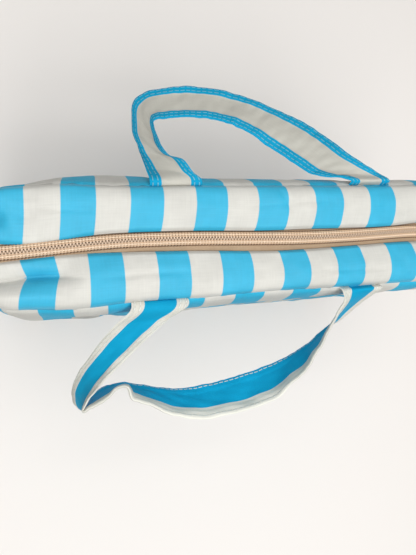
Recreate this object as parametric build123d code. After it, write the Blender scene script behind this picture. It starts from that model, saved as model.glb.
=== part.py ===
from build123d import *
import os

# Zip-top striped bag standing on its base, with both handles flopped outwards.
# X runs along the bag, +Y is the back, +Z is up. The origin is the centre of the base,
# on the surface that the bag stands on. All sizes are in millimetres.

# Body
SEAM_Z = 350.0              # height of the two long top seams
SEAM_Y = 44.0               # half the distance between the two top seams
FABRIC = 1.2                # an outer panel with its coating and turned edges
LINING = 0.8
LINING_GAP = 3.0            # the lining hangs loose inside the outer panels
END_SEAM_X = 222.0          # seams between the side panels and the end gussets
BASE_PLATE = 1.6            # base panel, doubled fabric
BOARD = 2.4                 # stiffening board on the base
BOARD_LENGTH = 430.0
BOARD_WIDTH = 98.0

# Outline of the body at five heights: height, length along X, width along Y, corner radius
BODY_SECTIONS = [
    (0.0, 455.0, 118.0, 28.0),
    (120.0, 475.0, 128.0, 32.0),
    (250.0, 475.0, 124.0, 32.0),
    (325.0, 470.0, 108.0, 28.0),
    (350.0, 462.0, 2 * SEAM_Y, 20.0),
]

# Slip pocket on the back lining
POCKET_LENGTH = 180.0
POCKET_LOW_Z = 110.0
POCKET_HIGH_Z = 240.0
POCKET_Y = 55.0
POCKET_THICK = 1.4

# Top strips
STRIP_CROWN = 3.5           # rise of a strip between its two edges
STRIP_EDGE_Y = 9.0          # from the zip's centre line to a strip's hem
STRIP_END_X = 229.0
FLAP_LEFT_X = -190.0        # between these two the strips lift when the zip opens
FLAP_RIGHT_X = 125.0
HINGE_GAP = 0.4             # clearance round everything that swings

# Zip tape and chain
ZIP_Z = SEAM_Z - 2.0        # mid-height of the chain
COIL_WIDTH = 4.9            # one half of a size 10 chain
COIL_HEIGHT = 3.0
CHAIN_GAP = 0.2             # between the halves of the closed chain
TAPE = 0.6
TAPE_INNER_Y = 2.6
TAPE_OUTER_Y = 17.0
TAPE_PAST_CHAIN = 8.0
CHAIN_LEFT_X = -209.0
CHAIN_RIGHT_X = 217.0
CHAIN_OPEN_LEFT_X = -197.0  # the chain is parted to the right of this once the zip is open
PARTED_OFFSET = 1.5         # each half moves this far aside round the slider's post
STOP_LENGTH = 4.0

# Slider and pull
SLIDER_X = 203.0            # slider's middle with the zip closed
SLIDER_LENGTH = 20.0
SLIDER_TAIL_WIDTH = 12.8
SLIDER_NOSE_WIDTH = 15.8
SLIDER_PLATE = 1.3
SLIDER_CLEAR = 2.0          # from the chain's mid-height to either plate
FLANGE = 1.0
POST_WIDTH = 2.4
POST_LENGTH = 5.0
POST_OFFSET = 5.5
BAIL_LENGTH = 7.0
BAIL_WIDTH = 2.4
BAIL_HEIGHT = 2.7
PULL_LENGTH = 31.0
PULL_WIDTH = 8.0
PULL_THICK = 1.5
PULL_PIN = 0.6              # radius of the pull's pin
PULL_EYE = 0.8              # radius of the eye in the bail
PULL_ARM = 1.2
PULL_PLATE_START = 6.5

# Handles
STRAP_WIDTH = 40.0
STRAP_THICK = 3.0
STRAP_DROOP = 33.0          # degrees below level at which a flopped handle stands out
STRAP_AXIS_Y = SEAM_Y + 1.8
STRAP_AXIS_Z = SEAM_Z + 1.0
TAIL_THICK = 2.4
TAIL_DEPTH = 24.0

# Middle line of each flopped handle in its own plane: along X, then out from the seam
BACK_STRAP_LINE = [(-75, 0), (-93, 60), (-62, 100), (4, 90), (60, 45), (91, 0)]
BACK_STRAP_RADII = [40, 28, 70, 60]
FRONT_STRAP_LINE = [(-94, 0), (-140, 74), (-100, 104), (-28, 98), (36, 58), (78, 0)]
FRONT_STRAP_RADII = [26, 24, 70, 60]

os.makedirs("parts", exist_ok=True)


def block(x0, x1, y0, y1, z0, z1):
    """A box given by its limits."""
    return Pos((x0 + x1) / 2, (y0 + y1) / 2, (z0 + z1) / 2) * Box(x1 - x0, y1 - y0, z1 - z0)


def to_front(shape):
    """A piece made for the back half, mirrored to the front half."""
    return mirror(shape, about=Plane.XZ)


def write(name, *shapes):
    """Write the solids of one node to its own file."""
    solids = [solid for shape in shapes for solid in shape.solids()]
    export_step(solids[0] if len(solids) == 1 else Compound(solids), f"parts/{name}.step")


def body_solid(inset):
    """The whole body as one solid, smaller all round by the inset."""
    outlines = []
    for height, length, width, radius in BODY_SECTIONS:
        outline = RectangleRounded(length - 2 * inset, width - 2 * inset, radius - inset)
        outlines.append(Pos(0, 0, height) * outline)
    return loft(outlines)


def layer(inset, thickness, low, high):
    """One layer of the walls, open at the top and the bottom."""
    slab = block(-300, 300, -200, 200, low, high)
    return (body_solid(inset) - body_solid(inset + thickness)) & slab


def write_walls(front, back, left, right, wall):
    """Cut a layer at the end seams and at the middle plane, and write its four pieces."""
    write(front, wall & block(-END_SEAM_X, END_SEAM_X, -200, 0, 0, 400))
    write(back, wall & block(-END_SEAM_X, END_SEAM_X, 0, 200, 0, 400))
    write(left, wall & block(-300, -END_SEAM_X, -200, 200, 0, 400))
    write(right, wall & block(END_SEAM_X, 300, -200, 200, 0, 400))


def base_plate(inset, low, thickness):
    """A plate in the shape of the base outline."""
    height, length, width, radius = BODY_SECTIONS[0]
    outline = RectangleRounded(length - 2 * inset, width - 2 * inset, radius - inset)
    return Pos(0, 0, low) * extrude(outline, thickness)


def write_outer_body():
    """Side panels, end gussets, base panel and stiffening board."""
    wall = layer(0.0, FABRIC, BASE_PLATE, SEAM_Z - FABRIC - HINGE_GAP)
    write_walls("front_panel", "back_panel", "left_gusset", "right_gusset", wall)
    write("base_panel", base_plate(0.0, 0.0, BASE_PLATE))
    board = extrude(RectangleRounded(BOARD_LENGTH, BOARD_WIDTH, 18), BOARD)
    write("base_board", Pos(0, 0, BASE_PLATE) * board)


def write_lining():
    """Loose lining of all five sides, with the slip pocket on its back."""
    floor_z = BASE_PLATE + BOARD
    inset = FABRIC + LINING_GAP
    wall = layer(inset, LINING, floor_z + LINING, SEAM_Z - FABRIC - HINGE_GAP)
    write_walls("lining_front", "lining_back", "lining_left", "lining_right", wall)
    write("lining_base", base_plate(inset, floor_z, LINING))
    half = POCKET_LENGTH / 2
    write("inner_pocket", block(-half, half, POCKET_Y, POCKET_Y + POCKET_THICK, POCKET_LOW_Z, POCKET_HIGH_Z))


def strip(x0, x1):
    """Back top strip between two places along the bag: an arched band."""
    y0, y1 = STRIP_EDGE_Y, SEAM_Y
    middle = (y0 + y1) / 2
    low_z = SEAM_Z - FABRIC
    top = ThreePointArc((x0, y0, SEAM_Z), (x0, middle, SEAM_Z + STRIP_CROWN), (x0, y1, SEAM_Z))
    seam_end = Line((x0, y1, SEAM_Z), (x0, y1, low_z))
    low = ThreePointArc((x0, y1, low_z), (x0, middle, low_z + STRIP_CROWN), (x0, y0, low_z))
    zip_end = Line((x0, y0, low_z), (x0, y0, SEAM_Z))
    band = extrude(make_face([top, seam_end, low, zip_end]), x1 - x0, dir=(1, 0, 0))
    height, length, width, radius = BODY_SECTIONS[-1]
    return band & extrude(RectangleRounded(length, width, radius), 2 * SEAM_Z)


def tape(x0, x1):
    """Back half of the zip tape, flat beside the chain and sewn under the strip's hem."""
    low_z = ZIP_Z - COIL_HEIGHT / 2
    return block(x0, x1, TAPE_INNER_Y, TAPE_OUTER_Y, low_z, low_z + TAPE)


def coil(x0, x1, aside=0.0):
    """Back half of the chain, a rounded bar on the tape's edge, moved aside where it is parted."""
    inner = CHAIN_GAP / 2
    bar = block(x0, x1, inner, COIL_WIDTH, ZIP_Z - COIL_HEIGHT / 2 + TAPE, ZIP_Z + COIL_HEIGHT / 2)
    rounded = fillet(bar.edges().filter_by(Axis.X).group_by(Axis.Z)[-1], 0.8)
    return Pos(0, aside, 0) * rounded


def write_both(name, *shapes):
    """Write a piece of the top's back half and its twin on the front half."""
    write("back_" + name, *shapes)
    write("front_" + name, *[to_front(shape) for shape in shapes])


def write_top():
    """Strips, tape and chain: sewn down at both ends, and lifting between them."""
    left_x = FLAP_LEFT_X - HINGE_GAP
    right_x = FLAP_RIGHT_X + HINGE_GAP
    write_both("top_strip", strip(FLAP_LEFT_X, FLAP_RIGHT_X))
    write_both("top_strip_left_end", strip(-STRIP_END_X, left_x))
    write_both("top_strip_right_end", strip(right_x, STRIP_END_X))
    write_both("zip_tape", tape(FLAP_LEFT_X, FLAP_RIGHT_X))
    write_both("zip_tape_left_end", tape(CHAIN_LEFT_X - TAPE_PAST_CHAIN, left_x))
    write_both("zip_tape_right_end", tape(right_x, CHAIN_RIGHT_X + TAPE_PAST_CHAIN))
    write_both("zip_coil", coil(FLAP_LEFT_X, FLAP_RIGHT_X))
    write_both("zip_coil_left_end", coil(CHAIN_LEFT_X, CHAIN_OPEN_LEFT_X))
    closed = coil(right_x, SLIDER_X)
    parted = coil(SLIDER_X, CHAIN_RIGHT_X, PARTED_OFFSET)
    write_both("zip_coil_right_end", closed, parted)


def write_stops():
    """A stop across both halves at the left end, and one on each half at the right end."""
    low_z, high_z = ZIP_Z - COIL_HEIGHT / 2 + TAPE, ZIP_Z + COIL_HEIGHT / 2 + 0.4
    left_end = CHAIN_LEFT_X - 0.1
    write("zip_left_stop", block(left_end - STOP_LENGTH, left_end, -COIL_WIDTH, COIL_WIDTH, low_z, high_z))
    right_end = CHAIN_RIGHT_X + 0.1
    stop = block(right_end, right_end + STOP_LENGTH, 2.8, 6.4, low_z, high_z)
    write("zip_right_stops", stop, to_front(stop))


def slider_plate(low_z):
    """One plate of the slider: narrow at the closed chain, wide where the halves part."""
    half = SLIDER_LENGTH / 2
    tail, nose = SLIDER_TAIL_WIDTH / 2, SLIDER_NOSE_WIDTH / 2
    outline = Polygon((-half, -tail), (-2, -tail), (2, -nose), (half, -nose),
                      (half, nose), (2, nose), (-2, tail), (-half, tail), align=None)
    outline = fillet(outline.vertices(), 1.8)
    return Pos(0, 0, low_z) * extrude(outline, SLIDER_PLATE)


def write_slider():
    """Two plates joined by the post, with flanges beside the chain and the bail on top."""
    outer = SLIDER_CLEAR + SLIDER_PLATE
    body = slider_plate(SLIDER_CLEAR) + slider_plate(-outer)
    body += block(POST_OFFSET - POST_LENGTH / 2, POST_OFFSET + POST_LENGTH / 2, -POST_WIDTH / 2,
                  POST_WIDTH / 2, -SLIDER_CLEAR, SLIDER_CLEAR)
    for x0, x1, width in ((-8.5, -2.5, SLIDER_TAIL_WIDTH), (2.5, 8.0, SLIDER_NOSE_WIDTH)):
        flange = block(x0, x1, width / 2 - FLANGE, width / 2, 0.4, SLIDER_CLEAR)
        body += flange + to_front(flange)
    bail = block(-BAIL_LENGTH / 2, BAIL_LENGTH / 2, -BAIL_WIDTH / 2, BAIL_WIDTH / 2, outer, outer + BAIL_HEIGHT)
    bail = fillet(bail.edges().filter_by(Axis.Y).group_by(Axis.Z)[-1], 1.8)
    bail -= Pos(0, 0, outer + BAIL_HEIGHT / 2) * Rot(90, 0, 0) * Cylinder(PULL_EYE, 3 * BAIL_WIDTH)
    write("zip_slider", Pos(SLIDER_X, 0, ZIP_Z) * (body + bail))


def write_pull():
    """Flat pull lying towards the end of the bag, with its pin through the bail."""
    pin_z = ZIP_Z + SLIDER_CLEAR + SLIDER_PLATE + BAIL_HEIGHT / 2
    arm_y = BAIL_WIDTH / 2 + 0.4 + PULL_ARM / 2
    pull = Rot(90, 0, 0) * Cylinder(PULL_PIN, 2 * arm_y)
    for side in (-1, 1):
        pull += block(-PULL_ARM / 2, PULL_PLATE_START + 1, side * arm_y - PULL_ARM / 2,
                      side * arm_y + PULL_ARM / 2, -PULL_ARM / 2, PULL_ARM / 2)
    plate = block(PULL_PLATE_START, PULL_LENGTH, -PULL_WIDTH / 2, PULL_WIDTH / 2, -PULL_THICK / 2, PULL_THICK / 2)
    pull += fillet(plate.edges().filter_by(Axis.Z), 2.4)
    write("zip_pull", Pos(SLIDER_X, 0, pin_z) * pull)


def strap(line, radii):
    """A back handle, flopped: a flat band along its line, standing out and down from the seam."""
    path = FilletPolyline(*line, radius=radii)
    band = extrude(trace(path, STRAP_WIDTH), STRAP_THICK / 2, both=True)
    band = band & block(-300, 300, 0, 300, -STRAP_THICK, STRAP_THICK)
    return Pos(0, STRAP_AXIS_Y, STRAP_AXIS_Z) * Rot(-STRAP_DROOP, 0, 0) * band


def tails(line):
    """The ends of a back handle, caught between the panel and the lining below the seam."""
    top_z = SEAM_Z - FABRIC - HINGE_GAP
    wall = layer(FABRIC + 0.3, TAIL_THICK, top_z - TAIL_DEPTH, top_z)
    half = STRAP_WIDTH / 2
    return [wall & block(x - half, x + half, 0, 200, 0, 400) for x in (line[0][0], line[-1][0])]


def write_handles():
    """Both handles and their sewn-in tails."""
    write("back_handle_strap", strap(BACK_STRAP_LINE, BACK_STRAP_RADII))
    write("back_handle_tails", *tails(BACK_STRAP_LINE))
    write("front_handle_strap", to_front(strap(FRONT_STRAP_LINE, FRONT_STRAP_RADII)))
    write("front_handle_tails", *[to_front(tail) for tail in tails(FRONT_STRAP_LINE)])


write_outer_body()
write_lining()
write_top()
write_stops()
write_slider()
write_pull()
write_handles()
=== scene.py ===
import bpy
import numpy as np
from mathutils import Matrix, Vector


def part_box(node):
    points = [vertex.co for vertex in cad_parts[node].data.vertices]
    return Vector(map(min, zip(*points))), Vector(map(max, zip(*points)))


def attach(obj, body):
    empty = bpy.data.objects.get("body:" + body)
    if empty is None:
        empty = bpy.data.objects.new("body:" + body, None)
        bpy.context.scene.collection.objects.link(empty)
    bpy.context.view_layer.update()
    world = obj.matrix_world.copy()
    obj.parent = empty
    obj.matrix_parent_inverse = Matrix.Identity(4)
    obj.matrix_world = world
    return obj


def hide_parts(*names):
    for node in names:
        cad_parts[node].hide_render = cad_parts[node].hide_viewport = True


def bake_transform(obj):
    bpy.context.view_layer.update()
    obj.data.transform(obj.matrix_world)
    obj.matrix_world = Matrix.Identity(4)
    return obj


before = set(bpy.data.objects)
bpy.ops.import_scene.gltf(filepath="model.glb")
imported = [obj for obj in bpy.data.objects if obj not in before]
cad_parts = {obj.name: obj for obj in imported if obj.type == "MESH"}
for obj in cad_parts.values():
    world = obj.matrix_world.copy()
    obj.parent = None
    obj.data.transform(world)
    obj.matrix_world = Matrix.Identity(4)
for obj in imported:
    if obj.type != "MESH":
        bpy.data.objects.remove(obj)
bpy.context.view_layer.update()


# ---------------------------------------------------------------- Camera
# A camera held over the left end of the bag, a little in front of it, looking down and
# leaning to the right, so the right-hand end runs away from it.
camera_data = bpy.data.cameras.new("camera")
camera_data.sensor_width = 36.0
camera_data.lens = 35.2
camera = bpy.data.objects.new("camera", camera_data)
camera.location = (-0.169, -0.0321, 0.7543)
camera.rotation_euler = np.radians([1.47, -15.6, -3.54])
bpy.context.collection.objects.link(camera)
bpy.context.scene.camera = camera


# ---------------------------------------------------------------- Floor and light
# A plain warm-white studio floor under three square softboxes: overhead, to the front and, weaker, to
# the back. A faint even surround fills what they leave.
floor_mesh = bpy.data.meshes.new("floor")
floor_mesh.from_pydata([(-4, -4, 0), (4, -4, 0), (4, 4, 0), (-4, 4, 0)], [], [(0, 1, 2, 3)])
floor = bpy.data.objects.new("floor", floor_mesh)
bpy.context.collection.objects.link(floor)
floor_paper = bpy.data.materials.new("floor_paper")
floor_paper.use_nodes = True
floor_shader = floor_paper.node_tree.nodes["Principled BSDF"]
floor_shader.inputs["Base Color"].default_value = (0.82, 0.79, 0.765, 1)
floor_shader.inputs["Roughness"].default_value = 0.9
floor_mesh.materials.append(floor_paper)

surround = bpy.data.worlds.new("surround")
surround.use_nodes = True
background = surround.node_tree.nodes["Background"]
background.inputs["Color"].default_value = (1.0, 0.985, 0.965, 1)
background.inputs["Strength"].default_value = 0.2
bpy.context.scene.world = surround
bpy.context.scene.view_settings.view_transform = "Standard"


def soft_light(name, place, turn, size, power):
    """A square area light: its place, its turn in degrees, its side in metres and its power in watts."""
    lamp = bpy.data.lights.new(name, "AREA")
    lamp.size = size
    lamp.energy = power
    lamp.color = (1.0, 0.99, 0.975)
    holder = bpy.data.objects.new(name, lamp)
    holder.location = place
    holder.rotation_euler = np.radians(turn)
    bpy.context.collection.objects.link(holder)


soft_light("overhead_softbox", (-0.1, 0.0, 2.2), (0, 0, 0), 1.6, 28.0)
soft_light("front_softbox", (0.05, -1.2, 2.0), (31, 4, 0), 1.3, 26.5)
soft_light("back_softbox", (-0.1, 1.2, 2.0), (-31, 0, 0), 1.4, 6.5)


# ---------------------------------------------------------------- Striped cloth
# Coated polyester of light-blue and cream stripes 25 mm wide, with a fine plain weave and a soft sheen.
# The pattern reads each piece's own UV map, whose unit is one metre of cloth.
STRIPE = 25.0
# Where a blue stripe ends, in repeats from its middle, and how sharply the colour changes there.
STRIPE_EDGE = 0.2435
EDGE_SHARPNESS = 77.0
BLUE = (0.036, 0.385, 0.595, 1)
CREAM = (0.555, 0.553, 0.520, 1)
# Threads per metre, and the depth of the weave's bump in metres.
CLOTH_THREADS = 1200.0
CLOTH_BUMP = 0.00016
FULL_TURN = 6.2832


def link(tree, *pairs):
    """Joins output sockets to input sockets of a node tree, pair by pair."""
    for out_socket, in_socket in pairs:
        tree.links.new(out_socket, in_socket)


def maths(tree, operation, a, b=None, clamp=False):
    """A Math node working on two values or sockets; returns its output."""
    node = tree.nodes.new("ShaderNodeMath")
    node.operation = operation
    node.use_clamp = clamp
    for socket, value in zip(node.inputs, (a, b)):
        if value is None:
            continue
        if isinstance(value, (int, float)):
            socket.default_value = value
        else:
            tree.links.new(value, socket)
    return node.outputs[0]


def past(tree, value, edge, sharpness):
    """0 up to an edge and 1 beyond it, rising over a distance of one over the sharpness."""
    return maths(tree, "MULTIPLY", maths(tree, "SUBTRACT", value, edge), sharpness, clamp=True)


def colour_mix(tree, mask, low, high, blend_type="MIX"):
    """Mixes two colours or sockets by a mask; returns the colour output."""
    node = tree.nodes.new("ShaderNodeMix")
    node.data_type = "RGBA"
    node.blend_type = blend_type
    for socket, value in ((node.inputs[0], mask), (node.inputs[6], low), (node.inputs[7], high)):
        if isinstance(value, (int, float, tuple)):
            socket.default_value = value
        else:
            tree.links.new(value, socket)
    return node.outputs[2]


def make_weave_group():
    """Plain weave as a height, thread colour variation and a roughness.
    The height is the product of two sines, along and across the cloth, which rise in turn like a
    chequerboard, with slubs and small rumples added. The variation is cloudy noise plus noise drawn out
    along each thread direction."""
    group = bpy.data.node_groups.new("plain_weave", "ShaderNodeTree")
    face = group.interface
    face.new_socket("Cloth", in_out="INPUT", socket_type="NodeSocketVector")
    face.new_socket("Threads per metre", in_out="INPUT", socket_type="NodeSocketFloat")
    for name in ("Height", "Variation", "Roughness"):
        face.new_socket(name, in_out="OUTPUT", socket_type="NodeSocketFloat")
    enter = group.nodes.new("NodeGroupInput")
    leave = group.nodes.new("NodeGroupOutput")
    split = group.nodes.new("ShaderNodeSeparateXYZ")
    link(group, (enter.outputs["Cloth"], split.inputs[0]))
    along = maths(group, "MULTIPLY", split.outputs[0], enter.outputs[1])
    across = maths(group, "MULTIPLY", split.outputs[1], enter.outputs[1])
    warp = maths(group, "SINE", maths(group, "MULTIPLY", along, FULL_TURN))
    weft = maths(group, "SINE", maths(group, "MULTIPLY", across, FULL_TURN))
    ridges = maths(group, "MULTIPLY", warp, weft)

    cloudy = group.nodes.new("ShaderNodeTexNoise")
    cloudy.inputs["Scale"].default_value = 38.0
    cloudy.inputs["Detail"].default_value = 3.0
    link(group, (enter.outputs["Cloth"], cloudy.inputs["Vector"]))
    drawn = []
    for stretch in ((1300.0, 45.0, 0.0), (45.0, 1300.0, 0.0)):
        scaled = group.nodes.new("ShaderNodeVectorMath")
        scaled.operation = "MULTIPLY"
        scaled.inputs[1].default_value = stretch
        threads = group.nodes.new("ShaderNodeTexNoise")
        threads.inputs["Scale"].default_value = 1.0
        threads.inputs["Detail"].default_value = 1.0
        link(group, (enter.outputs["Cloth"], scaled.inputs[0]),
             (scaled.outputs[0], threads.inputs["Vector"]))
        drawn.append(threads.outputs["Fac"])
    slubs = maths(group, "MULTIPLY", maths(group, "ADD", *drawn), 0.5)
    mixed = maths(group, "ADD", maths(group, "MULTIPLY", cloudy.outputs["Fac"], 0.55),
                  maths(group, "MULTIPLY", slubs, 0.45))
    link(group, (mixed, leave.inputs["Variation"]))
    rumples = group.nodes.new("ShaderNodeTexNoise")
    rumples.inputs["Scale"].default_value = 130.0
    rumples.inputs["Detail"].default_value = 2.0
    rumples.inputs["Distortion"].default_value = 0.6
    link(group, (enter.outputs["Cloth"], rumples.inputs["Vector"]))
    uneven = maths(group, "MULTIPLY", maths(group, "ADD", rumples.outputs["Fac"], slubs), 2.6)
    link(group, (maths(group, "ADD", ridges, uneven), leave.inputs["Height"]))
    rough = maths(group, "ADD", 0.30, maths(group, "MULTIPLY", mixed, 0.26))
    link(group, (rough, leave.inputs["Roughness"]))
    return group


plain_weave = make_weave_group()


def cloth_finish(tree, shader, uv, threads, depth, gloss=0.3):
    """Puts the weave on a shader: bump, roughness and the coating's gloss. Returns the variation."""
    weave = tree.nodes.new("ShaderNodeGroup")
    weave.node_tree = plain_weave
    weave.inputs[1].default_value = threads
    bump = tree.nodes.new("ShaderNodeBump")
    bump.inputs["Strength"].default_value = 0.35
    bump.inputs["Distance"].default_value = depth
    link(tree, (uv, weave.inputs[0]), (weave.outputs["Height"], bump.inputs["Height"]),
         (bump.outputs[0], shader.inputs["Normal"]),
         (weave.outputs["Roughness"], shader.inputs["Roughness"]))
    shader.inputs["Specular IOR Level"].default_value = gloss
    return weave.outputs["Variation"]


def cloth_uv(tree):
    """The UV map "cloth", whole and split into its places along and across, in metres."""
    uv = tree.nodes.new("ShaderNodeUVMap")
    uv.uv_map = "cloth"
    split = tree.nodes.new("ShaderNodeSeparateXYZ")
    link(tree, (uv.outputs[0], split.inputs[0]))
    return uv.outputs[0], split.outputs[0], split.outputs[1]


def shaded(tree, colour, shade):
    """A colour made darker or lighter by a factor."""
    grey = tree.nodes.new("ShaderNodeCombineColor")
    link(tree, *((shade, channel) for channel in grey.inputs[:3]))
    return colour_mix(tree, 1.0, colour, grey.outputs[0], "MULTIPLY")


def striped_material(name, gloss):
    """Two stripes to each 50 mm repeat: a blue one centred where the UV's first coordinate is a whole
    repeat. Cloudy variation moves the stripes' edges a little and shades the cloth."""
    material = bpy.data.materials.new(name)
    material.use_nodes = True
    tree = material.node_tree
    shader = tree.nodes["Principled BSDF"]
    uv, along, _ = cloth_uv(tree)
    variation = cloth_finish(tree, shader, uv, CLOTH_THREADS, CLOTH_BUMP, gloss)
    ragged = maths(tree, "MULTIPLY", maths(tree, "SUBTRACT", variation, 0.5), 0.0009)
    repeat = maths(tree, "MULTIPLY", maths(tree, "ADD", along, ragged), 1000.0 / (2 * STRIPE))
    from_blue = maths(tree, "PINGPONG", repeat, 0.5)
    stripes = colour_mix(tree, past(tree, from_blue, STRIPE_EDGE, EDGE_SHARPNESS), BLUE, CREAM)
    shade = maths(tree, "ADD", 0.74, maths(tree, "MULTIPLY", variation, 0.52))
    link(tree, (shaded(tree, stripes, shade), shader.inputs["Base Color"]))
    return material


striped_cloth = striped_material("striped_cloth", 0.02)
polished_cloth = striped_material("polished_striped_cloth", 0.28)


# ---------------------------------------------------------------- Side panels, end gussets and base
# Two long panels, two end gussets and a base panel of the striped cloth, sewn inside out with turned
# seams. They hang from the top seams, belly out above the base board and pucker along every seam.
SEAM_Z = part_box("front_top_strip")[0][2] * 1000 + 1.2
SEAM_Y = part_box("back_top_strip")[1][1] * 1000
# How far round a corner, from the long side, the end seam runs.
SEAM_ANGLE = np.radians(32)
CLOTH_THICKNESS = 0.9


def through(x, knots_x, knots_y):
    """A smooth curve through given points: cubic pieces whose slopes are those of the neighbouring
    chords."""
    kx, ky = np.asarray(knots_x, float), np.asarray(knots_y, float)
    slope = np.gradient(ky, kx)
    x = np.clip(x, kx[0], kx[-1])
    i = np.clip(np.searchsorted(kx, x) - 1, 0, len(kx) - 2)
    h = kx[i + 1] - kx[i]
    t = (x - kx[i]) / h
    rise = ky[i] * (1 + 2 * t) * (1 - t) ** 2 + ky[i + 1] * t * t * (3 - 2 * t)
    return rise + h * (slope[i] * t * (1 - t) ** 2 + slope[i + 1] * t * t * (t - 1))


def ramp(x, low, high):
    """Rises smoothly from 0 at low to 1 at high."""
    t = np.clip((x - low) / (high - low), 0, 1)
    return t * t * (3 - 2 * t)


def crumple(seed, a, b, shortest, longest, waves=16):
    """Soft creasing of cloth: a sum of sine waves in seeded random directions, longer waves being
    taller."""
    draw = np.random.default_rng(seed)
    total = np.zeros(np.broadcast(a, b).shape)
    for _ in range(waves):
        length = shortest * (longest / shortest) ** draw.random()
        turn = draw.random() * np.pi
        phase = draw.random() * 2 * np.pi
        wave = np.sin(2 * np.pi * (a * np.cos(turn) + b * np.sin(turn)) / length + phase)
        total += wave * (length / longest) ** 0.8
    return total / np.sqrt(waves / 2)


def fold_line(a, b, start, end, width):
    """A soft valley along a straight line: 1 on the line and falling off as a bell across it and past
    its ends."""
    (ax, ay), (bx, by) = start, end
    dx, dy = bx - ax, by - ay
    t = np.clip(((a - ax) * dx + (b - ay) * dy) / (dx * dx + dy * dy), 0, 1)
    away = np.hypot(a - ax - t * dx, b - ay - t * dy)
    return np.exp(-(away / width) ** 2)


def grid_piece(name, points, uv, material, flip=False, closed=False):
    """A mesh from a grid of points in millimetres: one quad per cell, joined round its second direction
    if closed. The UV map "cloth" holds uv in metres."""
    rows, columns = points.shape[:2]
    index = np.arange(rows * columns).reshape(rows, columns)
    right = np.roll(index, -1, axis=1) if closed else index[:, 1:]
    left = index if closed else index[:, :-1]
    quads = np.stack([left[:-1], left[1:], right[1:], right[:-1]], axis=-1).reshape(-1, 4)
    if flip:
        quads = quads[:, ::-1]
    mesh = bpy.data.meshes.new(name)
    mesh.from_pydata((points.reshape(-1, 3) * 0.001).tolist(), [], quads.tolist())
    layer = mesh.uv_layers.new(name="cloth")
    corners = uv.reshape(-1, 2)[quads.reshape(-1)] * 0.001
    layer.data.foreach_set("uv", corners.astype(np.float32).reshape(-1))
    mesh.materials.append(material)
    mesh.shade_smooth()
    piece = bpy.data.objects.new(name, mesh)
    bpy.context.collection.objects.link(piece)
    return piece


def thicken(piece, thickness):
    """Gives cloth its thickness, inwards from the modelled face."""
    solid = piece.modifiers.new("thickness", "SOLIDIFY")
    solid.thickness = thickness * 0.001
    solid.offset = -1.0
    solid.use_even_offset = False


def body_outline(z):
    """Half length, half width and corner radius of the body at a height."""
    half_length = through(z, [0, 60, 120, 250, 325, 350], [226, 232, 233, 232, 231, 230])
    half_width = through(z, [0, 60, 120, 250, 300, 325, 342, 350],
                         [58, 62.5, 63.5, 61.5, 56.5, 53, 47.8, 44])
    radius = through(z, [0, 120, 250, 325, 350], [28, 34, 40, 42, 33])
    return half_length, half_width, radius


def body_point(s, z, slackness):
    """Place on a closed rounded-rectangle outline at a height, s millimetres round from the front
    middle, and the direction outwards. s runs along the straight front, round the corner arc and on to
    the middle of the end, mirrored for s < 0. The belly slackens towards the ends by the slackness, a
    share of what it stands out past the seam."""
    half_length, half_width, radius = body_outline(z)
    side, run = np.sign(s), np.abs(s)
    straight = half_length - radius
    angle = np.clip((run - straight) / radius, 0, np.pi / 2)
    beyond = np.clip(run - straight - radius * np.pi / 2, 0, None)
    x = np.minimum(run, straight) + radius * np.sin(angle)
    y = -half_width + radius - radius * np.cos(angle) + beyond
    slack = (half_width - SEAM_Y) * ramp(z, 20, 140)
    y -= slackness * slack * ramp(x, 130, 215) * y / half_width
    normal = np.stack([np.sin(angle) * side, -np.cos(angle), np.zeros_like(angle)], axis=-1)
    return np.stack([x * side, y, z + 0 * x], axis=-1), normal


def belly_lean(z):
    """How far the body leans to the back: the square of a half sine over its height, up to 1.5 mm."""
    return 1.5 * np.sin(np.pi * np.clip(z / SEAM_Z, 0, 1)) ** 2


def seam_wander(x, front):
    """How far a long top seam strays outwards from straight, along the bag."""
    if front:
        return through(x, [-210, -194, -146, -118, -47, -21, 80, 131, 210],
                       [0, 0.4, 2.2, 0.5, -0.1, -1, -1.3, -1.4, 0])
    return through(x, [-210, -185, -162, -134, -58, 27, 111, 210], [0, 0.9, 2.3, 0.7, 0, -0.8, -1.4, 0])


def settle(points, seed, front):
    """Sag and creases of a long wall as a distance outwards: fuller on the left than on the right, with
    crumple of two sizes and long folds falling from the strap roots and the corners."""
    x, z = points[..., 0], points[..., 2]
    low = ramp(SEAM_Z - z, 4, 60) * ramp(z, 0, 30)
    fullness = [1, 0, -3.5, -5, -4.5, -6.5, -7, -5] if front else [3, 4, 4.5, 3.5, 1, -1.5, -3.5, -3]
    fuller = through(x, [-237, -180, -150, -100, -40, 40, 100, 237], fullness)
    out = fuller * low * ramp(z, 60, 240)
    out += low * crumple(seed, x, z, 38, 210) * 0.9
    out += ramp(SEAM_Z - z, 3, 20) * ramp(z, 2, 30) * crumple(seed + 1, x, z, 14, 40) * 0.22
    roots = (-96, 78) if front else (-76, 92)
    for root in roots:
        for spread, reach in ((-30, 120), (4, 170), (34, 105)):
            start, end = root + 0.3 * spread, root + spread
            out -= 2.2 * low * fold_line(x, z, (start, 338), (end, 345 - reach), 7.5)
            out += 1.3 * low * fold_line(x, z, (start + 9, 334), (end + 12, 345 - reach), 9)
    for corner in (-1, 1):
        out -= 3.0 * fold_line(x, z, (corner * 205, 300), (corner * 150, 262), 10)
        out += 1.6 * fold_line(x, z, (corner * 196, 284), (corner * 140, 240), 13)
        out -= 2.4 * fold_line(x, z, (corner * 214, 70), (corner * 160, 42), 9)
    return out


def seam_pucker(distance, along, seed):
    """Inward pull of a turned seam: a round-shouldered groove with small uneven gathers beside it."""
    groove = 2.3 * np.exp(-(distance / 1.7) ** 2)
    gathers = crumple(seed, along, 0 * along, 7, 19, 7) * 0.42 * np.exp(-distance / 7.0)
    return groove + gathers * (1 - np.exp(-distance / 1.5))


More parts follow.
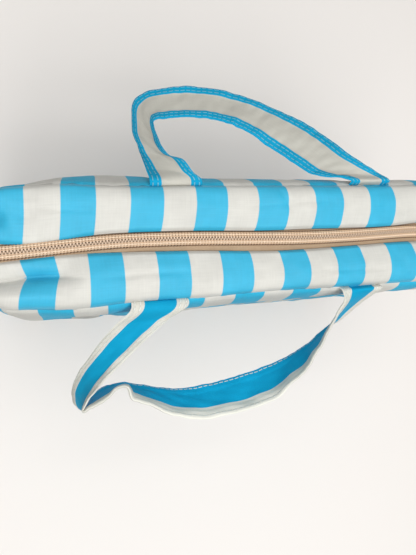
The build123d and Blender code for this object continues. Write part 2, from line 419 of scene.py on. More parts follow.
def packed(count, low, high):
    """Points from low to high, closer together towards both ends, so that a seam's groove has enough of
    them: an even spacing mixed with half a cosine wave."""
    t = np.linspace(0, 1, count)
    return low + (high - low) * (0.45 * t + 0.55 * 0.5 * (1 - np.cos(np.pi * t)))


WALL_FOOT = 1.7
WALL_TOP = SEAM_Z - 1.6
FRONT_SLACKNESS = 0.4
BACK_SLACKNESS = 0.7
# Where on x a blue stripe is centred.
BACK_BLUE = 0.0
FRONT_BLUE = 29.1
FRONT_STRIP_BLUE = 16.6


def long_span(z):
    """Half of a long panel, from its middle to the end seam part-way round the corner."""
    half_length, _, radius = body_outline(z)
    return half_length - radius + radius * SEAM_ANGLE


def long_wall(turn, seed, blue_at=0.0, inset=0.0, top=WALL_TOP):
    """A long side of the body, with a blue stripe centred at x = blue_at.
    turn is +1 for the front and -1 for the back, which is the front turned half round."""
    front = turn > 0
    z = packed(120, WALL_FOOT, top)[:, None]
    p = packed(190, -1, 1)[None, :]
    s = p * long_span(z)
    points, normal = body_point(s, z + 0 * p, FRONT_SLACKNESS if front else BACK_SLACKNESS)
    faced = points.copy()
    faced[..., 0] *= turn
    edge = (1 - np.abs(p)) * long_span(z)
    out = settle(faced, seed, front) * ramp(edge, 0, 30)
    up, down = top - z + 0 * p, z - WALL_FOOT + 0 * p
    out -= seam_pucker(edge, z + 0 * p, seed + 5)
    out -= seam_pucker(up, s, seed + 6) * 0.8 + seam_pucker(down, s, seed + 7)
    out += seam_wander(faced[..., 0], front) * ramp(z, 290, 345)
    out -= inset * (0.5 + 0.5 * ramp(top - z, 0, 12))
    points = points + normal * out[..., None]
    points[..., :2] *= turn
    points[..., 1] += belly_lean(z)
    cloth_u = p * long_span(200.0) * turn - blue_at + 0 * z
    return points, np.stack([cloth_u, z + 0 * p], axis=-1)


def end_span(z):
    """Half of an end gusset, from its middle to the seam."""
    _, half_width, radius = body_outline(z)
    return half_width - radius + radius * (np.pi / 2 - SEAM_ANGLE)


def end_middle(z):
    """Distance round the outline from the front middle to the middle of an end."""
    half_length, half_width, radius = body_outline(z)
    return half_length - radius + radius * np.pi / 2 + half_width - radius


def end_wall(side, seed, inset=0.0, top=WALL_TOP):
    """An end gusset, on the right for side +1: its front half follows the outline round from the corner
    and its back half mirrors it. Folds fall from the top corners and run down the sides."""
    z = packed(120, WALL_FOOT, top)[:, None]
    p = packed(70, -1, 1)[None, :]
    span = end_span(z) * np.abs(p)
    slackness = np.where(p > 0, BACK_SLACKNESS, FRONT_SLACKNESS)
    points, normal = body_point(end_middle(z) - span, z + 0 * p, slackness)
    back = np.where(p > 0, -1.0, 1.0) + 0 * z
    points[..., 1] *= back
    normal[..., 1] *= back
    y = points[..., 1]
    out = crumple(seed, y, z + 0 * p, 40, 170) * 1.3 * ramp(z, 0, 40) * ramp(top - z, 2, 40)
    for depth, start, end, width in ((4.5, (0, 330), (3, 150), 16),
                                     (2.6, (-46, 322), (-12, 268), 9), (2.6, (44, 316), (14, 262), 9),
                                     (-1.8, (-30, 200), (-26, 60), 18), (-1.8, (30, 200), (27, 60), 18)):
        out -= depth * fold_line(y, z + 0 * y, start, end, width)
    edge = (1 - np.abs(p)) * end_span(z)
    out = out * ramp(edge, 0, 22) - seam_pucker(edge, z + 0 * p, seed + 5)
    out -= seam_pucker(top - z + 0 * p, y, seed + 6) * 0.8
    out -= seam_pucker(z - WALL_FOOT + 0 * p, y, seed + 7)
    out -= inset * (0.5 + 0.5 * ramp(top - z, 0, 12))
    points = points + normal * out[..., None]
    points[..., 0] *= side
    points[..., 1] += belly_lean(z)
    cloth_u = p * end_span(200.0) + 0 * z
    return points, np.stack([cloth_u, z + 0 * p], axis=-1)


# Seeds of the walls' creases, by turn (front +1, back -1) and by end (left -1, right +1).
PANEL_SEEDS = {1: 11, -1: 31}
GUSSET_SEEDS = {-1: 51, 1: 71}
for name, turn, blue_at in (("front_panel", 1, FRONT_BLUE), ("back_panel", -1, BACK_BLUE)):
    points, uv = long_wall(turn, PANEL_SEEDS[turn], blue_at)
    panel = grid_piece(name + "_cloth", points, uv, striped_cloth, flip=True)
    thicken(panel, CLOTH_THICKNESS)
    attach(panel, "bag")
    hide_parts(name)

for name, side in (("left_gusset", -1), ("right_gusset", 1)):
    points, uv = end_wall(side, GUSSET_SEEDS[side])
    gusset = grid_piece(name + "_cloth", points, uv, striped_cloth, flip=side > 0)
    thicken(gusset, CLOTH_THICKNESS)
    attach(gusset, "bag")
    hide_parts(name)


def base_points():
    """The base panel: rings of the lowest outline drawn in to its middle, rolled up at the edge seam.
    A ring's corners are arcs about four centres, between which its sides run straight."""
    half_length, half_width, radius = body_outline(0.0)
    around = np.linspace(0, 2 * np.pi, 241)[:-1]
    centre_x = np.clip(np.cos(around) * 4, -1, 1) * (half_length - radius)
    centre_y = np.clip(np.sin(around) * 4, -1, 1) * (half_width - radius)
    ring_x, ring_y = centre_x + radius * np.cos(around), centre_y + radius * np.sin(around)
    share = 1 - (np.linspace(0, 1, 40) ** 1.6)[:, None]
    edge = (1 - share) * half_width
    z = 0.25 + 1.6 * np.exp(-(edge / 2.6) ** 2) + 0 * ring_x
    shrink = (share * half_width - 1.0 * np.exp(-(edge / 2.0) ** 2)) / half_width
    points = np.stack([ring_x * shrink, ring_y * shrink, z], axis=-1)
    return points, points[..., [0, 1]]


points, uv = base_points()
base = grid_piece("base_cloth", points, uv, striped_cloth, closed=True)
thicken(base, CLOTH_THICKNESS)
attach(base, "bag")
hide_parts("base_panel")


# ---------------------------------------------------------------- Top strips
# A crowned strip of the striped cloth on either side of the zip, sewn to the side panel by a turned seam
# and folded under beside the zip. Each is made as two halves.
STRIP_END = 230.0
STRIP_WIDTH = 36.0
CORNER = 33.0
CROWN = 6.6


def zip_line(x):
    """How far the zip's middle line wanders to the back of the bag's middle plane."""
    knots_x = [-230, -205, -179, -151, -122, -91, -60, -19, 24, 70, 134, 175, 195, 230]
    knots_y = [-3.0, -2.9, -1.2, 0.9, 2.4, 2.6, 2.2, 0.9, -0.2, 0.1, 1.8, 0.6, 0, 0]
    return through(x, knots_x, knots_y)


def zip_rise(x):
    """How far the chain's middle line waves up and down."""
    knots_x = [-230, -200, -150, -90, -20, 60, 130, 185, 230]
    knots_y = [0, 0.3, 0.9, 1.4, 1.0, 1.2, 0.8, 0, 0]
    return through(x, knots_x, knots_y)


def back_hem(x):
    """Distance from the zip's middle to the back strip's folded hem: it creeps over the chain near the
    left end."""
    return through(x, [-231, -205, -184, -172, -160, -142, -114, -55, -10, 33, 61, 113, 150, 231],
                   [8.5, 6.4, 3.4, 3.6, 4.4, 6.0, 6.2, 6.2, 6.3, 7.3, 6.9, 6.0, 8.6, 9.0])


def front_hem(x):
    """Distance from the zip's middle to the front strip's folded hem, which stands off and shows the
    tape."""
    return through(x, [-231, -192, -169, -146, -122, -96, -56, 1, 50, 98, 140, 231],
                   [8.0, 6.2, 6.2, 7.2, 8.6, 9.3, 9.9, 10.5, 9.2, 8.8, 9.2, 9.0])


def strip_surface(x, t, side):
    """Outer face of a top strip at places along x and across it, from the seam (t = 0) to the hem
    (t = 1). Its height is a crown of sine shape, drawn down into the grooves of the end and the seam and
    rolled under at the hem."""
    hem = back_hem(x) if side > 0 else front_hem(x)
    reach = np.clip((np.abs(x) - (STRIP_END - CORNER)) / CORNER, 0, 1)
    seam_y = SEAM_Y - 0.6 - CORNER * (1 - np.sqrt(1 - (reach * 0.995) ** 2))
    seam_y = seam_y + seam_wander(x, side < 0)
    y = seam_y * (1 - t) + (side * zip_line(x) + hem) * t
    from_end = STRIP_END - np.abs(x)
    ends = 1 - np.exp(-(from_end + 1.2) / 9.0)
    crown = CROWN + 0.7 * np.sin(x / 41.0 + side) + 0.5 * np.sin(x / 23.0 - 1.1 * side)
    z = SEAM_Z - 0.6 + crown * ends * np.sin(np.pi * t ** 0.62) ** 0.85
    z += (1.6 * ramp(x, -170, -90) * ends + zip_rise(x) * 0.8) * t
    z -= 1.9 * np.exp(-((1 - t) * STRIP_WIDTH / 1.3) ** 2) + 1.4 * np.exp(-(t * STRIP_WIDTH / 1.5) ** 2)
    z -= 2.2 * np.exp(-(from_end / 2.2) ** 2)
    z -= strip_creases(x, y, side) * np.sin(np.pi * np.clip(t, 0.02, 0.98)) ** 0.5 * ends
    return np.stack([x + 0 * t, side * y, z], axis=-1)


def left_crease(x, y, width):
    """The sharp valley across the front strip's left end: 1 along a bent line, falling off as a cusp and
    fading out to the right."""
    gap = y - through(x, [-215, -205, -188, -168, -152, -142], [23.8, 23.2, 21.3, 21.4, 23.0, 23.5])
    wider = np.where(gap > 0, width, width * 2)
    return np.exp(-np.abs(gap) / wider) * (1 - ramp(x, -182, -144))


def strip_creases(x, y, side):
    """Creases of a strip as a drop: crumple of two sizes, a broken line of dents along its middle, and
    the creases at the left end."""
    drop = 0.55 * crumple(91 + side, x, y, 30, 120) + 0.22 * crumple(95 + side, x, y, 9, 26)
    line = np.exp(-((y - 26 - 3 * np.sin(x / 50.0)) / 2.6) ** 2)
    drop += 0.9 * line * ramp(np.sin(x / 27.0 + side), 0, 1)
    if side < 0:
        drop += 12.0 * left_crease(x, y, 4.2)
        drop -= 1.8 * fold_line(x, y, (-215, 35), (-170, 37), 5.0)
        drop -= 1.5 * fold_line(x, y, (-200, 12), (-170, 14), 5.0)
    else:
        dent = np.sqrt(fold_line(x, y, (-240, 18), (-208, 20), 5.0))
        drop += 8.0 * dent * (1 - ramp(x, -210, -188))
        drop += 1.6 * fold_line(x, y, (-206, 30), (-186, 22), 5.0)
        drop += 1.1 * fold_line(x, y, (6, 40), (16, 22), 3.4)
    return drop


def top_strip(name, x0, x1, side, blue_at):
    """Half of a top strip: the outer face to the hem, the roll under it and the inner face back to the
    seam, where its allowance is tucked behind the panel. The cloth is pushed along a little in its
    middle, so its stripes bow."""
    x = np.linspace(x0, x1, 150)[:, None]
    t = packed(44, 0, 1)[None, :]
    outer = strip_surface(x, t, side)
    inner = strip_surface(x, t[:, ::-2], side) - [0, 0, 1.2]
    inner[..., 1] -= side * 0.5
    tuck = 1 - ramp(np.abs(x), 150, 195)
    allowance = outer[:, :1] + np.stack([0 * x, side * 1.4 * tuck, -0.6 - 1.1 * tuck], axis=-1)
    points = np.concatenate([outer, inner, allowance], axis=1)
    across = np.concatenate([t, 2 - t[:, ::-2], [[2.0]]], axis=1)
    pull = (0.9 + 1.4 * ramp(x, -60, 30)) * np.sin(np.pi * across) - 3.0 * ramp(x, 0, 40)
    if side > 0:
        pull = pull - 2.8 * across * (1 - ramp(x, -20, 40))
    else:
        pull = pull + 6.5 * left_crease(x, np.abs(points[..., 1]), 8.0)
    cloth = np.stack([x - blue_at - pull, across * STRIP_WIDTH + 0 * x], axis=-1)
    return grid_piece(name, points, cloth, polished_cloth, flip=side < 0, closed=True)


def lifts_with(piece):
    """Bakes a piece's transform into its mesh."""
    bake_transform(piece)


HALVES = (("left", -STRIP_END, 0.0), ("right", 0.0, STRIP_END))


def takes_place(half, part):
    """Hides the CAD nodes of a top part that one of its two halves stands for."""
    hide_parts(f"{part}_{half}_end")
    if half == "left":
        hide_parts(part)


for side_name, side, blue_at in (("back", 1, BACK_BLUE), ("front", -1, FRONT_STRIP_BLUE)):
    for half, x0, x1 in HALVES:
        cloth = top_strip(f"{side_name}_strip_{half}", x0, x1, side, blue_at)
        lifts_with(cloth)
        takes_place(half, side_name + "_top_strip")


# ---------------------------------------------------------------- Zip tapes and coils
# Two woven tan tapes, each with a nylon coil sewn along its inner edge by two rows of chain stitch.
# The coils' heads lock into each other left of the slider and stand a little apart right of it.
COIL_Z = (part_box("front_zip_coil")[0][2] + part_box("front_zip_coil")[1][2]) * 500
COIL_ENDS = (-209.0, 217.0)
TOOTH_PITCH = 2.4
# The tapes' ends, and where their inner edges lie under the coils.
TAPE_END = 228.0
TAPE_EDGE = 2.6
TAPE_WIDTH = 14.4


def plain_material(name, colour, roughness, metallic=0.0):
    """A Principled material of one colour."""
    material = bpy.data.materials.new(name)
    material.use_nodes = True
    shader = material.node_tree.nodes["Principled BSDF"]
    shader.inputs["Base Color"].default_value = (*colour, 1)
    shader.inputs["Roughness"].default_value = roughness
    shader.inputs["Metallic"].default_value = metallic
    return material


def woven_material(name, colour, roughness, threads, depth, dark, light, painted_shade=None, width=0.0):
    """A Principled material with a weave whose threads vary between a dark and a light colour. A strip
    of the given width in metres, along the start of the UV's second coordinate, has a colour of painted
    shade."""
    material = plain_material(name, colour, roughness)
    tree = material.node_tree
    shader = tree.nodes["Principled BSDF"]
    uv, _, across = cloth_uv(tree)
    thread_colour = colour_mix(tree, cloth_finish(tree, shader, uv, threads, depth), dark, light)
    # Painted shade: the strip of tape under the coil gets a darker colour.
    if painted_shade:
        thread_colour = colour_mix(tree, past(tree, across, width, 2500.0), painted_shade, thread_colour)
    link(tree, (thread_colour, shader.inputs["Base Color"]))
    return material


# The tape is painted darker where its coil covers it: painted shade under the coil.
tape_weave = woven_material("tape_weave", (0.33, 0.225, 0.135), 0.75, 1100.0, 0.00025,
                            (0.24, 0.155, 0.085, 1), (0.50, 0.37, 0.25, 1),
                            painted_shade=(0.09, 0.05, 0.028, 1), width=0.0052)
coil_nylon = plain_material("coil_nylon", (0.62, 0.47, 0.35), 0.26)
coil_nylon.node_tree.nodes["Principled BSDF"].inputs["Coat Weight"].default_value = 0.35
# The stitch beads are real, and their thread is coloured lighter as painted highlight on them.
highlit_stitch_thread = plain_material("highlit_stitch_thread", (0.74, 0.57, 0.41), 0.5)
cord_thread = plain_material("cord_thread", (0.49, 0.335, 0.215), 0.45)
# A dark brown thread that stands for painted shadow where the coil's outer turns meet the tape.
coil_shadow_thread = plain_material("coil_shadow_thread", (0.20, 0.115, 0.06), 0.7)


def chain_middle(x, side):
    """Place of one coil's inner edge: along the wandering zip line, 1.5 mm aside where the slider parts
    it."""
    return np.stack([x, zip_line(x) + side * 1.5 * ramp(x, 199, 208), COIL_Z + zip_rise(x)], axis=-1)


def zip_tape(name, x0, x1, side):
    """A tape as a thin closed section from under its coil out towards the seam. Past both ends of the
    coils the two tapes close up against each other."""
    x = np.linspace(max(x0, -TAPE_END), min(x1, TAPE_END), 150)[:, None]
    inner = TAPE_EDGE - 2.4 * (1 - ramp(x, -217, -212)) - 3.8 * ramp(x, 220, 224)
    outer = 12.0 + 5.0 * ramp(x, -175, -125)
    share = np.concatenate([np.linspace(0, 1, 14), np.linspace(1, 0, 8)])[None, :]
    across = inner + (outer - inner) * share
    drop = np.concatenate([np.full(14, 1.3), np.full(8, 1.9)])[None, :]
    middle = chain_middle(x, side)
    y = middle[..., 1] + side * across
    z = middle[..., 2] - drop - 0.25 * np.sin(x / 9.0) * ramp(across, 5, 14)
    points = np.stack([x + 0 * y, y, z], axis=-1)
    cloth = np.stack([x + 0 * y, TAPE_EDGE + TAPE_WIDTH * share + 0 * x], axis=-1)
    return grid_piece(name, points, cloth, tape_weave, flip=side < 0, closed=True)


def tube_mesh(name, centres, radii, material, sides=6, ring=False):
    """Tubes swept along many paths: centres is paths x points x 3 in millimetres, radii paths x points
    x 2. Each path runs in a plane of constant x, and its first radius is along x, or else it runs along x,
    and its first radius is along y. A ring is closed on itself."""
    ahead = np.roll(centres, -1, axis=1) - np.roll(centres, 1, axis=1)
    if not ring:
        ahead[:, 0] = centres[:, 1] - centres[:, 0]
        ahead[:, -1] = centres[:, -1] - centres[:, -2]
    ahead /= np.linalg.norm(ahead, axis=-1, keepdims=True)
    lengthwise = abs(ahead[0, 0, 0]) > 0.7
    first = np.zeros_like(centres)
    first[..., 1 if lengthwise else 0] = 1.0
    second = np.cross(ahead, first)
    second /= np.linalg.norm(second, axis=-1, keepdims=True)
    turn = np.linspace(0, 2 * np.pi, sides + 1)[:-1]
    rim = centres[:, :, None] + first[:, :, None] * (np.cos(turn)[:, None] * radii[:, :, None, :1])
    rim = rim + second[:, :, None] * (np.sin(turn)[:, None] * radii[:, :, None, 1:])
    paths, count = centres.shape[:2]
    index = np.arange(paths * count * sides).reshape(paths, count, sides)
    onward = np.roll(index, -1, axis=1) if ring else index[:, 1:]
    start = index if ring else index[:, :-1]
    quads = np.stack([start, np.roll(start, -1, axis=2), np.roll(onward, -1, axis=2), onward], axis=-1)
    mesh = bpy.data.meshes.new(name)
    mesh.from_pydata((rim.reshape(-1, 3) * 0.001).tolist(), [], quads.reshape(-1, 4).tolist())
    mesh.materials.append(material)
    mesh.shade_smooth()
    piece = bpy.data.objects.new(name, mesh)
    bpy.context.collection.objects.link(piece)
    return piece


def coil_teeth(name, x0, x1, side):
    """Turns of the coil: each a loop whose head reaches just past the zip's middle, and the two sides'
    heads alternate by half a pitch."""
    at = np.arange(COIL_ENDS[0], COIL_ENDS[1], TOOTH_PITCH) + (TOOTH_PITCH / 2 if side > 0 else 0)
    at = at[(at >= x0) & (at < x1)]
    loop = np.array([(4.6, 0.6), (3.4, 0.95), (2.0, 1.1), (1.1, 1.25), (0.35, 1.15), (-0.75, 0.1),
                     (-0.2, -0.95), (1.2, -1.15), (3.4, -1.1), (4.8, -0.6)])
    wide = np.array([0.80, 0.90, 0.92, 0.88, 0.66, 0.5, 0.6, 0.75, 0.8, 0.7])
    middle = chain_middle(at, side)[:, None, :] + np.zeros((1, len(loop), 1))
    middle[..., 1] += side * loop[:, 0]
    middle[..., 2] += loop[:, 1]
    radii = np.stack([wide + 0 * at[:, None], 0.42 + 0 * wide + 0 * at[:, None]], axis=-1)
    return tube_mesh(name, middle, radii, coil_nylon, sides=5, ring=True)


def coil_stitching(name, x0, x1, side, rows, material):
    """Rows of chain stitch along a coil, as cords whose thickness swells once to each tooth.
    Each row is its distance out, its height and its least and added radius."""
    x = np.arange(max(x0, COIL_ENDS[0]), min(x1, COIL_ENDS[1]) + 0.1, TOOTH_PITCH / 6)
    swell = 0.5 + 0.5 * np.sin(2 * np.pi * x / TOOTH_PITCH)
    paths, radii = [], []
    for out, height, least, more in rows:
        centre = chain_middle(x, side)
        centre[:, 1] += side * out
        centre[:, 2] += height
        paths.append(centre)
        radii.append(np.stack([least + more * swell] * 2, axis=-1))
    return tube_mesh(name, np.array(paths), np.array(radii), material)


for side_name, side in (("back", 1), ("front", -1)):
    for half, x0, x1 in HALVES:
        tape = zip_tape(f"{side_name}_tape_{half}", x0, x1, side)
        teeth = coil_teeth(f"{side_name}_coil_{half}", x0, x1, side)
        sewing = coil_stitching(f"{side_name}_coil_stitching_{half}", x0, x1, side,
                                ((2.95, 1.25, 0.34, 0.36),), highlit_stitch_thread)
        bands = coil_stitching(f"{side_name}_coil_cords_{half}", x0, x1, side,
                               ((1.75, 1.25, 0.50, 0.10), (4.15, 0.75, 0.46, 0.14)), cord_thread)
        # A row of dark beads along the coil's outer turns: painted shadow between the turns and the tape.
        shadow_beads = coil_stitching(f"{side_name}_tape_binding_{half}", x0, x1, side,
                                 ((5.25, -0.8, 0.15, 0.42),), coil_shadow_thread)
        for piece, slot in ((tape, "zip_tape"), (teeth, "zip_coil"), (sewing, "zip_coil"),
                            (bands, "zip_coil"), (shadow_beads, "zip_tape")):
            lifts_with(piece)
        takes_place(half, side_name + "_zip_tape")
        takes_place(half, side_name + "_zip_coil")


# ---------------------------------------------------------------- Slider, pull and stops
# A cast slider with a flat pull held under its bridge, and stops pressed over both ends of the chain.
# All are satin rose-gold metal in their CAD shapes.
def refinish(node, material):
    """Gives a CAD node a material of its own in place of what it came with."""
    fitting = bpy.data.objects[node]
    fitting.data.materials.clear()
    fitting.data.materials.append(material)


zip_metal = plain_material("zip_metal", (0.80, 0.60, 0.42), 0.28, metallic=1.0)
for node in ("zip_slider", "zip_pull", "zip_left_stop", "zip_right_stops"):
    refinish(node, zip_metal)


# ---------------------------------------------------------------- Handles
# Two straps of the striped cloth cut lengthwise, hemmed on both edges and stitched twice along each hem.
# Their ends are caught in the seams beside the top strips and each hangs outwards as a loop.
STRAP_WIDTH = 40.0
HEM = 9.0
INNER_HEM = 12.5
DROOP = np.radians(33)
# How deep below the seam the stations of a sewn-in end lie.
TAIL_DEPTHS = (24.0, 14.0, 5.0)
STRAP_BLUE = (0.006, 0.300, 0.520, 1)
STRAP_CREAM = (0.47, 0.465, 0.42, 1)
# The front strap's hem cream is a lighter copy of the strap cream: painted light on its hems.
LIT_HEM_CREAM = (0.60, 0.595, 0.54, 1)
BLUE_THREAD = (0.16, 0.44, 0.58, 1)
CREAM_THREAD = (0.72, 0.75, 0.71, 1)


def apart(tree, a, b):
    """The distance between two values."""
    return maths(tree, "ABSOLUTE", maths(tree, "SUBTRACT", a, b))


def value_mix(tree, mask, low, high):
    """Mixes two values by a mask."""
    node = tree.nodes.new("ShaderNodeMix")
    link(tree, (mask, node.inputs[0]), (low, node.inputs[2]), (high, node.inputs[3]))
    return node.outputs[0]


def strap_material(name, middle, hem, thread):
    """Cloth coloured by the UV's second coordinate: 0 to 40 mm across the outer face, 40 to 80 mm across
    the inner one, which is painted lighter to stand for the light it gets. A hem shows along both edges of
    the outer face and one edge of the inner; dashed stitches follow each edge, in two rows outside and one
    inside."""
    material = bpy.data.materials.new(name)
    material.use_nodes = True
    tree = material.node_tree
    shader = tree.nodes["Principled BSDF"]
    uv, u, v = cloth_uv(tree)
    variation = cloth_finish(tree, shader, uv, CLOTH_THREADS, CLOTH_BUMP, gloss=0.03)
    along = maths(tree, "MULTIPLY", u, 1000.0)
    across = maths(tree, "MULTIPLY", v, 1000.0)
    inside = past(tree, across, STRAP_WIDTH, 5.0)
    unevenness = maths(tree, "MULTIPLY", maths(tree, "SUBTRACT", variation, 0.5), 1.4)
    ragged = maths(tree, "ADD", across, unevenness)
    outer_hem = past(tree, HEM, maths(tree, "PINGPONG", ragged, STRAP_WIDTH / 2), 4.0)
    inner_hem = past(tree, STRAP_WIDTH + INNER_HEM, ragged, 4.0)
    cloth = colour_mix(tree, value_mix(tree, inside, outer_hem, inner_hem), middle, hem)

    from_edge = maths(tree, "PINGPONG", across, STRAP_WIDTH / 2)
    double_row = apart(tree, apart(tree, from_edge, 4.2), 1.9)
    single_row = apart(tree, from_edge, 3.2)
    on_row = past(tree, 0.62, value_mix(tree, inside, double_row, single_row), 3.0)
    sewn = past(tree, 2.0, maths(tree, "PINGPONG", along, 2.5), 3.0)
    stitches = maths(tree, "MULTIPLY", on_row, sewn)
    shade = maths(tree, "ADD", 0.80, maths(tree, "MULTIPLY", variation, 0.40))
    # Painted light: the inner face is made 0.28 lighter than the outer.
    shade = maths(tree, "ADD", shade, maths(tree, "MULTIPLY", inside, 0.28))
    colour = colour_mix(tree, stitches, shaded(tree, cloth, shade), thread)
    raised = tree.nodes.new("ShaderNodeBump")
    raised.inputs["Strength"].default_value = 0.8
    raised.inputs["Distance"].default_value = 0.0006
    woven = tree.nodes["Bump"]
    link(tree, (colour, shader.inputs["Base Color"]), (stitches, raised.inputs["Height"]),
         (woven.outputs[0], raised.inputs["Normal"]), (raised.outputs[0], shader.inputs["Normal"]))
    return material


def droop_place(side, x, out, lift):
    """A place beside a handle's seam: out along the plane falling 33 degrees below level, lift square
    to it."""
    y = SEAM_Y + 1.8 + out * np.cos(DROOP) + lift * np.sin(DROOP)
    z = SEAM_Z + 1.0 - out * np.sin(DROOP) + lift * np.cos(DROOP)
    return [x, side * y, z]


def strap(name, side, stations, material):
    """A strap through stations of its two edges, each edge given as (x, out, lift) in the droop plane.
    Both ends go on as tails down between the panel and the lining. Its section is two faces with thicker
    hems; soft puckers and ripples fade out at the sewn ends."""
    front = side < 0

    def root(edge_x):
        """One edge of a sewn-in end, from its tip behind the panel's face up to the seam."""
        places = []
        for depth in TAIL_DEPTHS:
            z = SEAM_Z - depth
            wall = body_outline(z)[1] + settle(np.array([edge_x, 0, z]), PANEL_SEEDS[-side], front)
            wall += seam_wander(edge_x, front) * ramp(z, 290, 345)
            places.append([edge_x, side * (wall - 2.2 - 0.05 * depth), z])
        return places + [[edge_x, side * (SEAM_Y + 0.4), SEAM_Z + 0.2]]

    edges = []
    for edge in (0, 1):
        loop = [droop_place(side, *station[edge]) for station in stations]
        start, finish = root(stations[0][edge][0]), root(stations[-1][edge][0])
        edges.append(np.array(start + loop + finish[::-1]))
    middle = (edges[0] + edges[1]) / 2
    run = np.concatenate([[0], np.cumsum(np.linalg.norm(np.diff(middle, axis=0), axis=1))])
    s = np.linspace(0, run[-1], 420)
    left, right = (np.stack([through(s, run, edge[:, k]) for k in range(3)], axis=-1) for edge in edges)
    width = right - left
    ahead = np.gradient((left + right) / 2, axis=0)
    normal = np.cross(ahead, width)
    normal /= np.linalg.norm(normal, axis=-1, keepdims=True)
    normal *= -side * np.sign(ahead[:, :1].sum())
    p = np.linspace(0, 1, 32)
    from_edge = np.minimum(p, 1 - p) * STRAP_WIDTH
    body = 0.55 + 0.55 * ramp(-from_edge, -HEM - 0.5, -HEM + 0.8)
    half_thickness = body * np.sqrt(np.clip(1 - (1 - np.clip(from_edge / 1.1, 0, 1)) ** 2, 0.0, 1))
    puckers = crumple(5 + side, s[:, None], 40 * p[None, :], 9, 34, 12) * 0.5
    hem_ripple = crumple(8 + side, s[:, None], 0 * p[None, :], 5, 11, 6) * 0.16
    hem_ripple = hem_ripple * np.exp(-from_edge / 5.0)
    free = (ramp(s, 20, 60) * ramp(run[-1] - s, 20, 60))[:, None]
    bow = 1.0 * np.sin(np.pi * p)[None, :] * np.sin(s / 37.0 + side)[:, None] * free
    centre = left[:, None] + width[:, None] * p[None, :, None]
    centre = centre + normal[:, None] * ((puckers + hem_ripple) * free + bow)[..., None]
    stand = normal[:, None] * half_thickness[None, :, None]
    points = np.concatenate([centre + stand, (centre - stand)[:, ::-1]], axis=1)
    across = np.concatenate([p, 2 - p[::-1]]) * STRAP_WIDTH
    cloth = np.stack([s[:, None] + 0 * across, across + 0 * s[:, None]], axis=-1)
    turned = side * np.sign(ahead[:, 0].sum()) > 0
    return grid_piece(name, points, cloth, material, flip=turned, closed=True)


# The two edges of each handle, station by station from its left root round to its right one.
BACK_STATIONS = [
    ((-97, 0, 0), (-56, 0, 0)), ((-97, 19, -5), (-63, 5, 5)), ((-98, 38, -9), (-71, 16, 9)),
    ((-100, 47, -6), (-78, 22, 6)), ((-102, 60, -6), (-83, 32, 6)), ((-101, 78, -4), (-84, 43, 4)),
    ((-96, 98, -2), (-85, 60, 2)), ((-87, 107, -1), (-84, 68, 1)), ((-72, 112, 0), (-75, 72, 0)),
    ((-50, 115, 1), (-58, 76, -1)), ((-29, 114, 1), (-36, 75, -1)), ((-4, 107, 1), (-20, 70, -1)),
    ((21, 92, 2), (-4, 61, -2)), ((36, 78, 4), (8, 50, -4)), ((50, 64, 6), (20, 39, -6)),
    ((66, 44, 6), (33, 24, -6)), ((80, 24, 6), (44, 13, -6)), ((94, 13, 3), (55, 7, -3)),
    ((105, 6, 0), (66, 4, 0)), ((110, -1, 0), (73, -1, 0)),
]
FRONT_STATIONS = [
    ((-116, 0, 0), (-72, 0, 0)), ((-128, 19, -2), (-88, 14, 2)), ((-139, 37, -6), (-103, 26, 6)),
    ((-147, 52, -8), (-114, 37, 8)), ((-155, 67, -10), (-125, 48, 10)), ((-160, 82, -12), (-136, 60, 12)),
    ((-161, 95, -13), (-144, 70, 13)), ((-159, 107, -13), (-150, 79, 13)),
    ((-153, 114, -15), (-154, 87, 15)), ((-145, 104, -18), (-149, 83, 18)),
    ((-131, 94, -17), (-135, 74, 17)), ((-124, 92, -16), (-128, 67, 16)), ((-118, 91, -16), (-120, 66, 16)),
    ((-113, 93, -17), (-116, 77, 18)), ((-106, 96, -17), (-110, 81, 18)), ((-90, 102, -18), (-99, 89, 18)),
    ((-74, 107, -19), (-82, 100, 19)), ((-53, 108, -20), (-57, 108, 20)), ((-28, 104, -20), (-30, 106, 20)),
    ((-8, 99, -20), (-9, 102, 20)), ((11, 93, -20), (12, 92, 20)), ((28, 85, -19), (23, 77, 19)),
    ((40, 77, -19), (31, 67, 19)), ((50, 67, -17), (38, 52, 17)), ((58, 57, -16), (43, 39, 16)),
    ((65, 47, -14), (47, 28, 14)), ((73, 38, -12), (51, 17, 12)), ((82, 27, -11), (54, 8, 11)),
    ((89, 17, -9), (57, 4, 9)), ((94, 8, -5), (58, 1, 5)), ((97, -1, 0), (58, -1, 0)),
]
blue_hemmed = strap_material("blue_hemmed_strap", STRAP_CREAM, STRAP_BLUE, BLUE_THREAD)
cream_hemmed = strap_material("cream_hemmed_strap", STRAP_BLUE, LIT_HEM_CREAM, CREAM_THREAD)


def add_handle(handle, side, stations, material):
    """Makes a strap, bakes its transform and hides the CAD strap and tails that it stands for."""
    band = strap(handle + "_band", side, stations, material)
    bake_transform(band)
    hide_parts(handle + "_strap", handle + "_tails")


add_handle("back_handle", 1, BACK_STATIONS, blue_hemmed)
add_handle("front_handle", -1, FRONT_STATIONS, cream_hemmed)


# ---------------------------------------------------------------- Lining and pocket
# A thin cream lining, cut like the panels, hangs loose inside them from the top seams. A slip pocket of
# the same cloth is sewn to its back by three edges.
lining_cloth = woven_material("lining_cloth", (0.60, 0.585, 0.54), 0.6, 2300.0, 0.00006,
                              (0.52, 0.505, 0.46, 1), (0.68, 0.665, 0.62, 1))
LINING_THICKNESS = 0.5
LINING_INSET = 6.0
LINING_TOP = WALL_TOP - 1.5
LINING_REACH = 3.8


def add_lining(piece, node):
    """Puts a lining piece on the bag in place of its CAD node."""
    thicken(piece, LINING_THICKNESS)
    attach(piece, "bag")
    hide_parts(node)


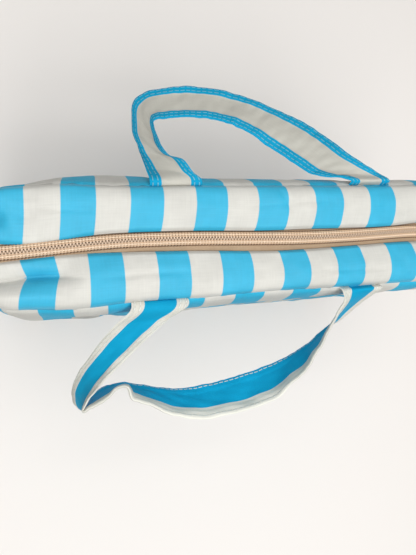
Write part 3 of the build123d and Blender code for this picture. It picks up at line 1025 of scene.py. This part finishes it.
for node, turn in (("lining_front", 1), ("lining_back", -1)):
    points, uv = long_wall(turn, PANEL_SEEDS[turn], inset=LINING_INSET, top=LINING_TOP)
    # The long edges reach up under the top strips, which closes the seam from inside when they lift.
    middle = 1 - ramp(np.abs(points[..., 0]), 150, 195)
    points[..., 2] += LINING_REACH * middle * ramp(points[..., 2], LINING_TOP - 8.0, LINING_TOP)
    add_lining(grid_piece(node + "_cloth", points, uv, lining_cloth, flip=True), node)

for node, side in (("lining_left", -1), ("lining_right", 1)):
    points, uv = end_wall(side, GUSSET_SEEDS[side], inset=LINING_INSET, top=LINING_TOP)
    add_lining(grid_piece(node + "_cloth", points, uv, lining_cloth, flip=side > 0), node)

# The lining's base lies drawn in from the base panel, and on the base board.
points, uv = base_points()
points = points * [0.975, 0.93, 1.0] + [0, 0, 7.0]
add_lining(grid_piece("lining_base_cloth", points, uv, lining_cloth, closed=True), "lining_base")

pocket_low, pocket_high = (np.array(corner) * 1000 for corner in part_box("inner_pocket"))
x = np.linspace(pocket_low[0], pocket_high[0], 90)[:, None]
z = packed(60, pocket_low[2], pocket_high[2])[None, :]
from_middle = np.abs(x) / pocket_high[0]
rise = (z - pocket_low[2]) / (pocket_high[2] - pocket_low[2])
# The pocket gapes a little at its open edge, whose middle sags 2 mm.
stand_off = 1.2 + 6.5 * ramp(1 - from_middle, 0, 0.7) * ramp(rise, 0.2, 1.0)
stand_off += crumple(191, x, z, 20, 70) * 0.5
sag = 2.0 * rise * np.cos(np.pi / 2 * from_middle)
y = body_outline(z)[1] - LINING_INSET - 2.2 - stand_off
points = np.stack([x + 0 * z, y + 0 * x, z - sag], axis=-1)
pocket = grid_piece("pocket_cloth", points, points[..., [0, 2]], lining_cloth, flip=True)
add_lining(pocket, "inner_pocket")


# ---------------------------------------------------------------- Base board
# A grey fibre board, cut to the base's shape, lies loose between the base panel and the base lining
# and keeps the bottom flat.
refinish("base_board", plain_material("board_fibre", (0.22, 0.21, 0.19), 0.85))
